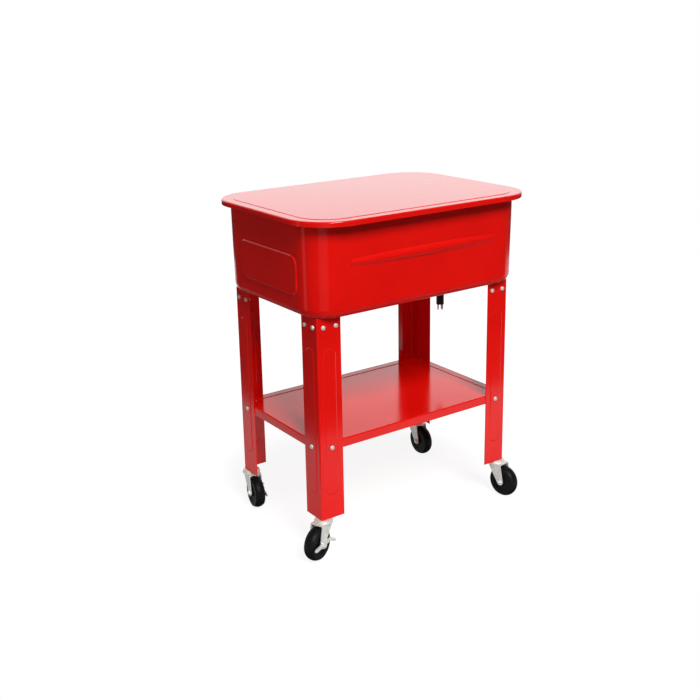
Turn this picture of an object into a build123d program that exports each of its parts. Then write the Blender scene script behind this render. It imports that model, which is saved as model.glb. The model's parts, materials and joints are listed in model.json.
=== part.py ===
from build123d import *
import math
import os

os.makedirs("parts", exist_ok=True)

# A parts-washing tub on four angle legs with a lower shelf, a hinged lid and swivel casters.
# Millimetres. X runs to the right, the front faces -Y and Z is up.
# The origin is on the floor under the lid's middle.

# Lid
lid_width = 730
lid_depth = 532
lid_corner = 115
lid_skirt = 13.5
lid_edge_radius = 4
lid_rear_cut = 35
panel_border = 30
panel_rise = 1
panel_corner = 85
sheet = 1.5

# Tub
rim_overhang_x = 22
rim_overhang_y = 35
tub_corner = 80
tub_height = 247.5
tub_draft = 0.7
tub_bottom_radius = 26
rim_clearance = 1.5
rim_lip = 7.5
rim_rear_setback = 9
apron_inset = 110
apron_height = 23
pad_inset = 91
pad_height = 103
pad_corner = 26
pad_rise = 3
pad_setback = -9
pad_below_rim = 142
bead_inset = 106
bead_rise = 6.5
bead_end_rise = 2.5
bead_radius = 20
bead_below_rim = 109

# Legs, brackets and shelf
leg_length = 544
leg_inset_x = 24
leg_inset_y = 28
stand_setback = 6
leg_flange = 71
leg_sheet = 2
leg_bend = 4
leg_scribe = 3
leg_rib_width = 38
leg_rib_rise = 1.3
leg_rib_slope = 62
leg_rib_bottom = 66
leg_rib_below_top = 78
leg_bolt_drop = 22.5
leg_bolt_near = 18.5
leg_bolt_far = 56
bracket_sheet = 3
bracket_height = 40
bracket_reach = 64
shelf_height = 188.5
shelf_lip = 24
shelf_border = 25
shelf_recess = 1.5
shelf_edge_radius = 2.5
shelf_bolt_inset = 36.5
shelf_bolt_rise = 9
foot_plate_sheet = 4
foot_plate_size = 26

# Fasteners
bolt_radius = 3
bolt_head_radius = 6
bolt_head_height = 3.8
bolt_hole_clearance = 0.3
nut_across_flats = 10
nut_height = 5
thread_clearance = 0.05

# Seats and fits
bumper_height = 3.5
bumper_radius = 7
seat_gap = 0.3
running_clearance = 0.05

# Hinges and lid stay
hinge_inset = 45
hinge_length = 80
hinge_sheet = 1.5
hinge_leaf = 20
knuckle_radius = 3.2
knuckle_share = 0.36
knuckle_gap = 0.5
hinge_pin_radius = 2
stay_setback = 75
stay_drop = 62
stay_length = 150
stay_pivot_drop = 25
stay_sheet = 3
stay_width = 16
stay_gap = 0.5
stay_pin_radius = 4
stay_pin_head_radius = 6
stay_wall_gap = 16

# Work tray, pump, spout and drain
tray_end_gap = 36
pump_bay = 176
tray_wall_gap = 18
tray_bearing = 4
tray_lip = 12
tray_above_bottom = 116
tray_corner = 30
tray_hole_radius = 10
tray_hole_pitch = 60
support_length = 40
support_sheet = 2
support_reach_x = 130
pump_from_end = 101
pump_from_rear = 85
pump_width = 90
pump_depth = 70
pump_height = 55
pump_edge_radius = 8
strainer_height = 12
outlet_radius = 5
outlet_height = 12
hose_radius = 7
hose_bore = 5
spout_from_rear = 61
spout_bracket_above_bottom = 156
spout_bracket_width = 44
spout_base_radius = 11
spout_base_height = 14
spout_radius = 6
spout_bore = 4
spout_rise = 26
spout_bend = 28
spout_reach = 120
spout_tip_drop = 30
spout_tip_bend = 40
spout_heading = 215
nozzle_length = 24
nozzle_radius = 8.5
drain_radius = 17
drain_bore = 11
drain_length = 20
plug_head_across = 24
plug_head_height = 10

# Switch box and mains cord
box_width = 60
box_height = 66
box_depth = 35.9
box_wall = 2.5
box_below_rim = 18.7
box_corner = 4
rocker_width = 13.8
rocker_height = 20
rocker_depth = 8
rocker_pivot_in = 3.2
rocker_tilt = 8
rocker_clearance = 0.4
rocker_pin_radius = 1.5
rocker_pin_length = 2.5
cord_diameter = 7.5
cord_from_rear = 87
gland_length = 28
gland_top_radius = 8.5
gland_tip_radius = 5.5
pump_lead_diameter = 6.5
pump_lead_below_rim = 72
coil_drop = 100
coil_radius = 55
coil_pitch = 8.2
coil_half_turns = 12
coil_wall_gap = 6.7
tie_width = 5
tie_sheet = 1.4
tie_clearance = 0.4
saddle_width = 14
saddle_height = 20
plug_below_tub = 153.3
plug_body_width = 23
plug_body_length = 27
plug_body_height = 36
plug_relief_height = 28
plug_relief_top_radius = 5.2
plug_relief_bottom_radius = 9
plug_heading = 55.3
blade_width = 6.3
blade_sheet = 1.5
blade_length = 17
blade_spacing = 12.7
pin_radius = 2.4
pin_length = 19
pin_offset = 11.9

# Casters
caster_height = 104
caster_inset = 14
caster_trail = 32
caster_headings = {"front_left": 202.0, "front_right": 277.0, "rear_left": 260.0, "rear_right": 266.6}
braked_corners = ("front_left", "rear_left")
wheel_radius = 45
wheel_width = 28
wheel_shoulder = 5
wheel_web = 24
wheel_rim_inner = 27
wheel_hub_radius = 12
wheel_hub_width = 31
fork_sheet = 2.5
fork_side_gap = 1
fork_head_radius = 25
fork_crown_back = 15
fork_crown_front = 32
fork_eye_radius = 10
fork_wheel_gap = 5
race_radius = 21.5
race_height = 3
race_gap = 0.4
stem_radius = 5
stem_nut_across_flats = 17
stem_nut_height = 8
stem_head_radius = 8
stem_head_height = 3.5
axle_radius = 4
axle_head_across_flats = 13
axle_head_height = 3.5
lever_sheet = 3
lever_gap = 0.4
lever_eye_radius = 9
lever_tip_radius = 5
lever_rise = 5
lever_back = 31
lever_front = 33
lever_drop = 1
lever_tab_reach = 16
lever_tab_sheet = 3

# Sizes that follow the lid
tub_width = lid_width - 2 * rim_overhang_x
tub_depth = lid_depth - 2 * rim_overhang_y
apron_width = lid_width - 2 * apron_inset
pad_width = tub_depth - 2 * pad_inset
bead_length = tub_width - 2 * bead_inset
leg_span_x = tub_width - 2 * leg_inset_x
leg_span_y = tub_depth - 2 * leg_inset_y
tray_left = tub_width / 2 - tray_end_gap
tray_right = tub_width / 2 - pump_bay
tray_depth = tub_depth - 2 * tray_wall_gap
support_depth = tray_wall_gap + tray_bearing
pump_x = tub_width / 2 - pump_from_end
pump_y = tub_depth / 2 - pump_from_rear
spout_y = tub_depth / 2 - spout_from_rear
cord_y = tub_depth / 2 - cord_from_rear

# Levels worked out from the floor up
leg_bottom = caster_height
tub_bottom = leg_bottom + leg_length
rim_top = tub_bottom + tub_height
lid_under = rim_top + bumper_height + seat_gap
lid_border_top = lid_under + sheet
panel_under = lid_under + panel_rise
shelf_bottom = leg_bottom + shelf_height
shelf_top = shelf_bottom + shelf_lip
rear_face = lid_depth / 2 - rim_rear_setback
hinge_z = lid_under - seat_gap - knuckle_radius
hinge_y = rear_face + seat_gap + knuckle_radius
corners = {"front_left": (-1, -1), "front_right": (1, -1), "rear_left": (-1, 1), "rear_right": (1, 1)}


def save(piece, label):
    piece.part.label = label
    export_step(piece.part, f"parts/{label}.step")


def wall_inset(level):
    return (rim_top - level) * math.tan(math.radians(tub_draft))


def tub_section(level, inset):
    shrink = wall_inset(level) + inset
    RectangleRounded(tub_width - 2 * shrink, tub_depth - 2 * shrink, tub_corner - shrink)


def rim_outline(inset, mode=Mode.ADD):
    front = lid_depth / 2 - sheet - rim_clearance
    width = lid_width - 2 * (sheet + rim_clearance + inset)
    depth = rear_face + front - 2 * inset
    corner_radius = lid_corner - sheet - rim_clearance - inset
    with Locations((0, (rear_face - front) / 2)):
        RectangleRounded(width, depth, corner_radius, mode=mode)


def hexagon(across_flats):
    RegularPolygon(across_flats / 2, 6, major_radius=False)


def side_plane(point, side):
    return Plane(origin=point, x_dir=(0, 1, 0), z_dir=(side, 0, 0))


def cross_plane(x):
    return Plane(origin=(x, 0, 0), x_dir=(0, 1, 0), z_dir=(1, 0, 0))


# Stiffening pads pressed out of the two end walls
pad_level = rim_top - pad_below_rim
pad_face = tub_width / 2 - wall_inset(pad_level) + pad_rise
pad_depth = 2 * pad_rise + sheet


def end_pads(inset):
    flare = pad_depth - pad_rise - inset / 2
    for side in (-1, 1):
        pad_foot = (side * (pad_face - inset - pad_depth), pad_setback, pad_level)
        with BuildSketch(side_plane(pad_foot, side)) as outline:
            RectangleRounded(pad_width + 2 * flare, pad_height + 2 * flare, pad_corner + flare)
        extrude(outline.sketch, amount=pad_depth, taper=45)


# Spindle beads with blunt ends pressed out of the front and rear walls
bead_level = rim_top - bead_below_rim
bead_axis_y = tub_depth / 2 - wall_inset(bead_level) + bead_rise - bead_radius


def wall_beads(inset):
    half = bead_length / 2 - inset
    top_radius = bead_radius - inset
    end_radius = top_radius - bead_rise + bead_end_rise
    for side in (-1, 1):
        bead_middle = (0, side * bead_axis_y, bead_level)
        with BuildSketch(Plane(origin=bead_middle, x_dir=(1, 0, 0), z_dir=(0, -1, 0))) as outline:
            with BuildLine():
                ThreePointArc((-half, end_radius), (0, top_radius), (half, end_radius))
                Polyline((half, end_radius), (half, 0), (-half, 0), (-half, end_radius))
            make_face()
        revolve(outline.sketch, axis=Axis(bead_middle, (1, 0, 0)))


# Tub: outer form and cavity are kept apart, so that what seats on the tub is cut to it
with BuildPart() as tub_form:
    with BuildSketch(Plane.XY.offset(tub_bottom)):
        tub_section(tub_bottom, 0)
    extrude(amount=tub_height, taper=-tub_draft)
    fillet(tub_form.faces().sort_by(Axis.Z)[0].edges(), tub_bottom_radius)
    end_pads(0)
    wall_beads(0)

with BuildPart() as tub_cavity:
    with BuildSketch(Plane.XY.offset(tub_bottom + sheet)):
        tub_section(tub_bottom + sheet, sheet)
    extrude(amount=tub_height, taper=-tub_draft)
    fillet(tub_cavity.faces().sort_by(Axis.Z)[0].edges(), tub_bottom_radius - sheet)
    end_pads(sheet)
    wall_beads(sheet)

pump_lead_level = rim_top - pump_lead_below_rim
with BuildPart() as tub:
    add(tub_form.part)
    with BuildSketch(Plane.XY.offset(rim_top)):
        rim_outline(0)
    extrude(amount=-sheet)
    with BuildSketch(Plane.XY.offset(rim_top)):
        rim_outline(0)
        rim_outline(sheet, Mode.SUBTRACT)
    extrude(amount=-rim_lip)
    with Locations((0, rear_face, rim_top)):
        Box(apron_width, sheet, apron_height, align=(Align.CENTER, Align.MAX, Align.MAX))
    add(tub_cavity.part, mode=Mode.SUBTRACT)
    with BuildSketch(Plane.XY.offset(tub_bottom)):
        Circle(drain_bore)
    extrude(amount=sheet, mode=Mode.SUBTRACT)
    with BuildSketch(side_plane((tub_width / 2, cord_y, pump_lead_level), 1)):
        Circle(pump_lead_diameter / 2 + bolt_hole_clearance)
    extrude(amount=-4 * sheet, mode=Mode.SUBTRACT)
save(tub, "tub")

# Lid: pressed sheet with a raised middle panel and a turned-down skirt that stops short of the rear edge
with BuildPart() as lid_cavity:
    with BuildSketch(Plane.XY.offset(lid_border_top - lid_skirt)):
        RectangleRounded(lid_width - 2 * sheet, lid_depth - 2 * sheet, lid_corner - sheet)
    extrude(amount=lid_skirt - sheet)
    fillet(lid_cavity.faces().sort_by(Axis.Z)[-1].edges(), lid_edge_radius - sheet)
    with BuildSketch(Plane.XY.offset(lid_under)):
        RectangleRounded(
            lid_width - 2 * panel_border - sheet,
            lid_depth - 2 * panel_border - sheet,
            panel_corner - sheet / 2,
        )
    extrude(amount=panel_rise, taper=45)

with BuildPart() as lid:
    with BuildSketch(Plane.XY.offset(lid_border_top)):
        RectangleRounded(lid_width, lid_depth, lid_corner)
    extrude(amount=-lid_skirt)
    fillet(lid.faces().sort_by(Axis.Z)[-1].edges(), lid_edge_radius)
    with BuildSketch(Plane.XY.offset(lid_border_top)):
        RectangleRounded(lid_width - 2 * panel_border, lid_depth - 2 * panel_border, panel_corner)
    extrude(amount=panel_rise, taper=45)
    add(lid_cavity.part, mode=Mode.SUBTRACT)
    with Locations((0, lid_depth / 2, lid_border_top - lid_edge_radius)):
        Box(
            lid_width,
            lid_rear_cut,
            lid_skirt,
            align=(Align.CENTER, Align.MAX, Align.MAX),
            mode=Mode.SUBTRACT,
        )
save(lid, "lid")

# Rubber bumpers on the rim that carry the closed lid
rim_middle_x = (tub_width + lid_width) / 4
rim_middle_y = (tub_depth + lid_depth) / 4
bumper_reach_y = lid_depth / 5
bumper_reach_x = lid_width / 4
with BuildPart() as lid_bumpers:
    side_places = [(x, y) for x in (-rim_middle_x, rim_middle_x) for y in (-bumper_reach_y, bumper_reach_y)]
    front_places = [(x, -rim_middle_y) for x in (-bumper_reach_x, bumper_reach_x)]
    with BuildSketch(Plane.XY.offset(rim_top)):
        with Locations(*side_places, *front_places):
            Circle(bumper_radius)
    extrude(amount=bumper_height)
save(lid_bumpers, "lid_bumpers")

# Rear butt hinges: the tub leaf stands on the apron, the lid leaf lies under the lid
hinge_reach = apron_width / 2 - hinge_inset
hinge_middles = (-hinge_reach, hinge_reach)
lid_knuckle = hinge_length * knuckle_share
tub_knuckle = (hinge_length - lid_knuckle) / 2 - knuckle_gap
tub_knuckle_offset = (hinge_length - tub_knuckle) / 2


def knuckle(middle, length):
    with BuildSketch(cross_plane(middle)) as outline:
        with Locations((hinge_y, hinge_z)):
            Circle(knuckle_radius)
    extrude(outline.sketch, amount=length / 2, both=True)


def knuckle_bore(clearance):
    with BuildSketch(cross_plane(0)) as outline:
        with Locations((hinge_y, hinge_z)):
            Circle(hinge_pin_radius + clearance)
    extrude(outline.sketch, amount=lid_width / 2, both=True, mode=Mode.SUBTRACT)


with BuildPart() as hinge_tub_leaves:
    for middle in hinge_middles:
        for offset_x in (-tub_knuckle_offset, tub_knuckle_offset):
            knuckle(middle + offset_x, tub_knuckle)
            with Locations((middle + offset_x, rear_face, hinge_z)):
                Box(tub_knuckle, hinge_sheet, hinge_leaf, align=(Align.CENTER, Align.MIN, Align.MAX))
        with Locations((middle, rear_face, hinge_z - knuckle_radius - knuckle_gap)):
            leaf_height = hinge_leaf - knuckle_radius - knuckle_gap
            Box(hinge_length, hinge_sheet, leaf_height, align=(Align.CENTER, Align.MIN, Align.MAX))
    knuckle_bore(running_clearance)
save(hinge_tub_leaves, "hinge_tub_leaves")

with BuildPart() as hinge_lid_leaves:
    for middle in hinge_middles:
        knuckle(middle, lid_knuckle)
        leaf_edge = hinge_y - knuckle_radius - knuckle_gap
        with Locations((middle, leaf_edge, lid_under)):
            Box(hinge_length, hinge_leaf, hinge_sheet, align=(Align.CENTER, Align.MAX, Align.MAX))
        with Locations((middle, hinge_y, lid_under)):
            Box(lid_knuckle, hinge_leaf, hinge_sheet, align=(Align.CENTER, Align.MAX, Align.MAX))
    knuckle_bore(running_clearance)
save(hinge_lid_leaves, "hinge_lid_leaves")

with BuildPart() as hinge_pins:
    for middle in hinge_middles:
        with BuildSketch(cross_plane(middle)):
            with Locations((hinge_y, hinge_z)):
                Circle(hinge_pin_radius)
        extrude(amount=hinge_length / 2, both=True)
save(hinge_pins, "hinge_pins")

# Lid stay: a parallelogram with the hinge axis, so the arm turns as far as the lid does
stay_foot = (hinge_y - stay_setback, hinge_z - stay_drop)
stay_head = (hinge_y - stay_length, hinge_z - stay_pivot_drop)
stay_elbow = (stay_foot[0] - stay_length, stay_foot[1] - stay_pivot_drop)
wall_x = -(tub_width / 2 - wall_inset(stay_foot[1]) - sheet)
arm_x = wall_x + stay_wall_gap
link_x = arm_x + stay_sheet + stay_gap
tab_x = link_x + stay_sheet + stay_gap


def bar(start, end, face):
    with BuildSketch(cross_plane(face)) as outline:
        with Locations(start, end):
            Circle(stay_width / 2)
        make_hull()
    extrude(outline.sketch, amount=stay_sheet)


def stay_pin(place, low, high, radius):
    with BuildSketch(cross_plane(low)) as outline:
        with Locations(place):
            Circle(radius)
    extrude(outline.sketch, amount=high - low)


def pivot_hole(place, face):
    with BuildSketch(cross_plane(face)) as outline:
        with Locations(place):
            Circle(stay_pin_radius + running_clearance)
    extrude(outline.sketch, amount=stay_sheet, mode=Mode.SUBTRACT)


with BuildPart() as stay_bracket:
    stay_pin(stay_foot, wall_x - 2 * sheet, arm_x - stay_gap, stay_width / 2)
    add(tub_cavity.part, mode=Mode.INTERSECT)
    stay_pin(stay_foot, arm_x - stay_gap, link_x, stay_pin_radius)
    stay_pin(stay_foot, link_x, link_x + stay_sheet, stay_pin_head_radius)
save(stay_bracket, "stay_bracket")

with BuildPart() as stay_arm:
    bar(stay_foot, stay_elbow, arm_x)
    pivot_hole(stay_foot, arm_x)
    stay_pin(stay_elbow, arm_x, tab_x, stay_pin_radius)
    stay_pin(stay_elbow, tab_x, tab_x + stay_sheet / 2, stay_pin_head_radius)
save(stay_arm, "stay_arm")

with BuildPart() as fusible_link:
    bar(stay_head, stay_elbow, link_x)
    pivot_hole(stay_head, link_x)
    pivot_hole(stay_elbow, link_x)
save(fusible_link, "fusible_link")

with BuildPart() as stay_lid_tab:
    with BuildSketch(cross_plane(tab_x)):
        with Locations(stay_head):
            Circle(stay_width / 2)
            Rectangle(stay_width, panel_under - stay_head[1], align=(Align.CENTER, Align.MIN))
    extrude(amount=stay_sheet)
    stay_pin(stay_head, link_x - stay_gap, tab_x, stay_pin_radius)
    stay_pin(stay_head, link_x - 2 * stay_gap, link_x - stay_gap, stay_pin_head_radius)
save(stay_lid_tab, "stay_lid_tab")

# Legs: pressed angles with a raised rib on each face, scribed to the tub's rounded bottom
with BuildPart() as bolt:
    Cylinder(bolt_head_radius, bolt_head_height, align=(Align.CENTER, Align.CENTER, Align.MIN))
    fillet(bolt.faces().sort_by(Axis.Z)[-1].edges(), bolt_head_height * 0.7)

foot_x = leg_span_x / 2
foot_y = leg_span_y / 2
leg_bolt_level = tub_bottom - leg_bolt_drop
shelf_bolt_level = shelf_bottom + shelf_bolt_rise


def face_planes(corner, along, level, lift):
    side_x, side_y = corners[corner]
    on_x_face = (side_x * (foot_x + lift), side_y * (foot_y - along) + stand_setback, level)
    on_y_face = (side_x * (foot_x - along), side_y * (foot_y + lift) + stand_setback, level)
    return [
        Plane(origin=on_x_face, x_dir=(0, 0, 1), z_dir=(side_x, 0, 0)),
        Plane(origin=on_y_face, x_dir=(0, 0, 1), z_dir=(0, side_y, 0)),
    ]


def leg_bolt_planes(corner, lift):
    near = face_planes(corner, leg_bolt_near, leg_bolt_level, lift)
    return near + face_planes(corner, leg_bolt_far, leg_bolt_level, lift)


def shelf_bolt_planes(corner, lift):
    return face_planes(corner, shelf_bolt_inset, shelf_bolt_level, lift)


def angle_section(corner, lift, reach, thickness):
    side_x, side_y = corners[corner]
    inward = (Align.MAX if side_x > 0 else Align.MIN, Align.MAX if side_y > 0 else Align.MIN)
    with Locations((side_x * (foot_x - lift), side_y * (foot_y - lift) + stand_setback)):
        Rectangle(reach, reach, align=inward)
    inner = lift + thickness
    with Locations((side_x * (foot_x - inner), side_y * (foot_y - inner) + stand_setback)):
        Rectangle(reach, reach, align=inward, mode=Mode.SUBTRACT)


def bolt_holes(planes, depth):
    for place in planes:
        with BuildSketch(place) as outline:
            Circle(bolt_radius + bolt_hole_clearance)
        extrude(outline.sketch, amount=-depth, mode=Mode.SUBTRACT)


leg_rib_top = leg_length - leg_rib_below_top
rib_length = leg_rib_top - leg_rib_bottom
rib_level = leg_bottom + (leg_rib_top + leg_rib_bottom) / 2
for corner, (side_x, side_y) in corners.items():
    with BuildPart() as leg:
        with BuildSketch(Plane.XY.offset(leg_bottom)):
            angle_section(corner, 0, leg_flange, leg_sheet)
        extrude(amount=leg_length + leg_scribe)
        leg_corner = (side_x * foot_x, side_y * foot_y + stand_setback, rib_level)
        outer_edge = leg.edges().filter_by(Axis.Z).sort_by_distance(leg_corner)[0]
        fillet(outer_edge, leg_bend)
        for rib_plane in face_planes(corner, leg_flange / 2, rib_level, 0):
            with BuildSketch(rib_plane):
                SlotOverall(rib_length, leg_rib_width)
            extrude(amount=leg_rib_rise, taper=leg_rib_slope)
            with BuildSketch(rib_plane.offset(-leg_sheet)):
                SlotOverall(rib_length - leg_sheet, leg_rib_width - leg_sheet)
            extrude(amount=leg_rib_rise, taper=leg_rib_slope, mode=Mode.SUBTRACT)
        bolt_holes(leg_bolt_planes(corner, 0), leg_sheet)
        bolt_holes(shelf_bolt_planes(corner, leg_rib_rise), leg_sheet + leg_rib_rise)
        add(tub_form.part, mode=Mode.SUBTRACT)
    save(leg, f"leg_{corner}")

# Corner brackets welded under the tub, which the legs bolt to
with BuildPart() as leg_brackets:
    for corner in corners:
        with BuildSketch(Plane.XY.offset(tub_bottom - bracket_height)):
            angle_section(corner, leg_sheet, bracket_reach, bracket_sheet)
        extrude(amount=bracket_height + leg_scribe)
        bolt_holes(leg_bolt_planes(corner, -leg_sheet), bracket_sheet)
    add(tub_form.part, mode=Mode.SUBTRACT)
save(leg_brackets, "leg_brackets")


def bolt_group(planes, grip):
    for place in planes:
        with Locations(place):
            add(bolt.part)
        with BuildSketch(place) as outline:
            Circle(bolt_radius)
        extrude(outline.sketch, amount=-grip - nut_height - bolt_radius / 2)


def nut_group(planes, grip):
    for place in planes:
        with BuildSketch(place.offset(-grip)) as outline:
            hexagon(nut_across_flats)
            Circle(bolt_radius + thread_clearance, mode=Mode.SUBTRACT)
        extrude(outline.sketch, amount=-nut_height)


leg_planes = [place for corner in corners for place in leg_bolt_planes(corner, 0)]
leg_grip = leg_sheet + bracket_sheet
with BuildPart() as leg_bolts:
    bolt_group(leg_planes, leg_grip)
save(leg_bolts, "leg_bolts")

with BuildPart() as leg_nuts:
    nut_group(leg_planes, leg_grip)
save(leg_nuts, "leg_nuts")

# Lower shelf: a tray with turned-down lips and a shallow recessed middle
shelf_width = leg_span_x - 2 * leg_sheet
shelf_depth = leg_span_y - 2 * leg_sheet
with BuildPart() as shelf:
    shelf_plane = Plane(origin=(0, stand_setback, shelf_bottom))
    with BuildSketch(shelf_plane):
        Rectangle(shelf_width, shelf_depth)
    extrude(amount=shelf_lip)
    fillet(shelf.faces().sort_by(Axis.Z)[-1].edges(), shelf_edge_radius)
    with BuildSketch(shelf_plane.offset(shelf_lip)):
        RectangleRounded(shelf_width - 2 * shelf_border, shelf_depth - 2 * shelf_border, shelf_border / 2)
    extrude(amount=-shelf_recess, taper=45, mode=Mode.SUBTRACT)
    with BuildSketch(shelf_plane):
        Rectangle(shelf_width - 2 * sheet, shelf_depth - 2 * sheet)
    extrude(amount=shelf_lip - shelf_recess - sheet, mode=Mode.SUBTRACT)
    rim_inner = 2 * (shelf_border - sheet)
    with BuildSketch(shelf_plane.offset(shelf_lip - sheet)):
        Rectangle(shelf_width - 2 * shelf_edge_radius, shelf_depth - 2 * shelf_edge_radius)
        Rectangle(shelf_width - rim_inner, shelf_depth - rim_inner, mode=Mode.SUBTRACT)
    extrude(amount=-shelf_recess, mode=Mode.SUBTRACT)
    for corner in corners:
        bolt_holes(shelf_bolt_planes(corner, -leg_sheet), 2 * sheet)
save(shelf, "shelf")

shelf_planes = [place for corner in corners for place in shelf_bolt_planes(corner, leg_rib_rise)]
shelf_grip = leg_rib_rise + leg_sheet + sheet
with BuildPart() as shelf_bolts:
    bolt_group(shelf_planes, shelf_grip)
save(shelf_bolts, "shelf_bolts")

with BuildPart() as shelf_nuts:
    nut_group(shelf_planes, shelf_grip)
save(shelf_nuts, "shelf_nuts")

# Foot plates welded into the legs, with the caster stems bolted through them
caster_places = {
    corner: (side_x * (foot_x - caster_inset), side_y * (foot_y - caster_inset) + stand_setback)
    for corner, (side_x, side_y) in corners.items()
}
stem_places = list(caster_places.values())
with BuildPart() as foot_plates:
    with BuildSketch(Plane.XY.offset(leg_bottom)):
        for side_x, side_y in corners.values():
            inward = (Align.MAX if side_x > 0 else Align.MIN, Align.MAX if side_y > 0 else Align.MIN)
            with Locations((side_x * (foot_x - leg_sheet), side_y * (foot_y - leg_sheet) + stand_setback)):
                Rectangle(foot_plate_size, foot_plate_size, align=inward)
        with Locations(*stem_places):
            Circle(stem_radius + bolt_hole_clearance, mode=Mode.SUBTRACT)
    extrude(amount=foot_plate_sheet)
save(foot_plates, "foot_plates")

wheel_top = 2 * wheel_radius
crown_under = wheel_top + fork_wheel_gap
head_top = leg_bottom - race_height - race_gap


def stem_ring(level, radius, height):
    with BuildSketch(Plane.XY.offset(level)) as outline:
        with Locations(*stem_places):
            Circle(radius)
    extrude(outline.sketch, amount=height)


stem_head_top = crown_under - seat_gap
stem_top = leg_bottom + foot_plate_sheet + stem_nut_height + stem_radius / 2
with BuildPart() as caster_stems:
    stem_ring(stem_head_top - stem_head_height, stem_radius, stem_top - stem_head_top + stem_head_height)
    stem_ring(stem_head_top - stem_head_height, stem_head_radius, stem_head_height)
    stem_ring(leg_bottom - race_height, race_radius, race_height)
save(caster_stems, "caster_stems")

with BuildPart() as caster_nuts:
    with BuildSketch(Plane.XY.offset(leg_bottom + foot_plate_sheet)):
        with Locations(*stem_places):
            hexagon(stem_nut_across_flats)
            Circle(stem_radius + thread_clearance, mode=Mode.SUBTRACT)
    extrude(amount=stem_nut_height)
save(caster_nuts, "caster_nuts")

# Casters: each has its own swivel heading at rest
fork_inner = wheel_hub_width / 2 + fork_side_gap
fork_outer = fork_inner + fork_sheet
lever_face = fork_outer + lever_gap
crown_length = fork_crown_back + fork_crown_front
crown_middle = (fork_crown_front - fork_crown_back) / 2


def caster_plane(corner, along, across, level, z_across):
    x, y = caster_places[corner]
    heading = math.radians(caster_headings[corner])
    trail = Vector(math.cos(heading), math.sin(heading), 0)
    side = Vector(-math.sin(heading), math.cos(heading), 0)
    origin = Vector(x, y, level) + trail * along + side * across
    return Plane(origin=origin, x_dir=trail, z_dir=-side if z_across else (0, 0, 1))


for corner in corners:
    with BuildPart() as fork:
        with BuildSketch(caster_plane(corner, 0, 0, crown_under, False)):
            Circle(fork_head_radius)
        extrude(amount=head_top - crown_under)
        fillet(fork.faces().sort_by(Axis.Z)[-1].edges(), fork_sheet)
        with BuildSketch(caster_plane(corner, crown_middle, 0, crown_under, False)):
            Rectangle(crown_length, 2 * fork_outer)
        extrude(amount=fork_sheet)
        for face in (fork_outer, -fork_inner):
            with BuildSketch(caster_plane(corner, 0, face, 0, True)):
                with Locations((caster_trail, wheel_radius)):
                    Circle(fork_eye_radius)
                with Locations((crown_middle, crown_under)):
                    Rectangle(crown_length, fork_sheet, align=(Align.CENTER, Align.MIN))
                make_hull()
                with Locations((caster_trail, wheel_radius)):
                    Circle(axle_radius + running_clearance, mode=Mode.SUBTRACT)
            extrude(amount=fork_sheet)
        with BuildSketch(caster_plane(corner, 0, 0, crown_under, False)):
            Circle(stem_radius + running_clearance)
        extrude(amount=caster_height, mode=Mode.SUBTRACT)
    save(fork, f"caster_fork_{corner}")

    braked = corner in braked_corners
    head_face = lever_face + lever_sheet + lever_gap if braked else fork_outer
    with BuildPart() as axle:
        with BuildSketch(caster_plane(corner, caster_trail, head_face, wheel_radius, True)):
            Circle(axle_radius)
        extrude(amount=head_face + fork_outer + axle_head_height + axle_radius / 2)
        with BuildSketch(caster_plane(corner, caster_trail, head_face, wheel_radius, True)):
            hexagon(axle_head_across_flats)
        extrude(amount=-axle_head_height)
        with BuildSketch(caster_plane(corner, caster_trail, -fork_outer, wheel_radius, True)):
            hexagon(axle_head_across_flats)
        extrude(amount=axle_head_height)
    save(axle, f"caster_axle_{corner}")

    with BuildPart() as wheel:
        hub_bore = axle_radius + running_clearance
        edge_radius = wheel_radius - wheel_shoulder
        with BuildSketch(caster_plane(corner, caster_trail, 0, wheel_radius, False)):
            with BuildLine():
                Polyline(
                    (edge_radius, -wheel_width / 2),
                    (wheel_rim_inner, -wheel_width / 2),
                    (wheel_rim_inner, -wheel_web / 2),
                    (wheel_hub_radius, -wheel_web / 2),
                    (wheel_hub_radius, -wheel_hub_width / 2),
                    (hub_bore, -wheel_hub_width / 2),
                    (hub_bore, wheel_hub_width / 2),
                    (wheel_hub_radius, wheel_hub_width / 2),
                    (wheel_hub_radius, wheel_web / 2),
                    (wheel_rim_inner, wheel_web / 2),
                    (wheel_rim_inner, wheel_width / 2),
                    (edge_radius, wheel_width / 2),
                )
                tread_end = (edge_radius, -wheel_width / 2)
                ThreePointArc((edge_radius, wheel_width / 2), (wheel_radius, 0), tread_end)
            make_face()
        wheel_axis = caster_plane(corner, caster_trail, 0, wheel_radius, True)
        revolve(axis=Axis(wheel_axis.origin, wheel_axis.z_dir))
    save(wheel, f"caster_wheel_{corner}")

    if braked:
        with BuildPart() as lever:
            tip = (caster_trail - lever_back, wheel_radius + lever_rise)
            toe = (caster_trail + lever_front, wheel_radius - lever_drop)
            with BuildSketch(caster_plane(corner, 0, lever_face + lever_sheet, 0, True)):
                with Locations(tip, toe):
                    Circle(lever_tip_radius)
                make_hull()
                with Locations((caster_trail, wheel_radius)):
                    Circle(lever_eye_radius)
                    Circle(axle_radius + running_clearance, mode=Mode.SUBTRACT)
            extrude(amount=lever_sheet)
            with BuildSketch(caster_plane(corner, 0, lever_face + lever_tab_reach, 0, True)):
                with Locations(tip):
                    Rectangle(2 * lever_tip_radius, lever_tab_sheet)
            extrude(amount=lever_tab_reach)
        save(lever, f"brake_lever_{corner}")

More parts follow.
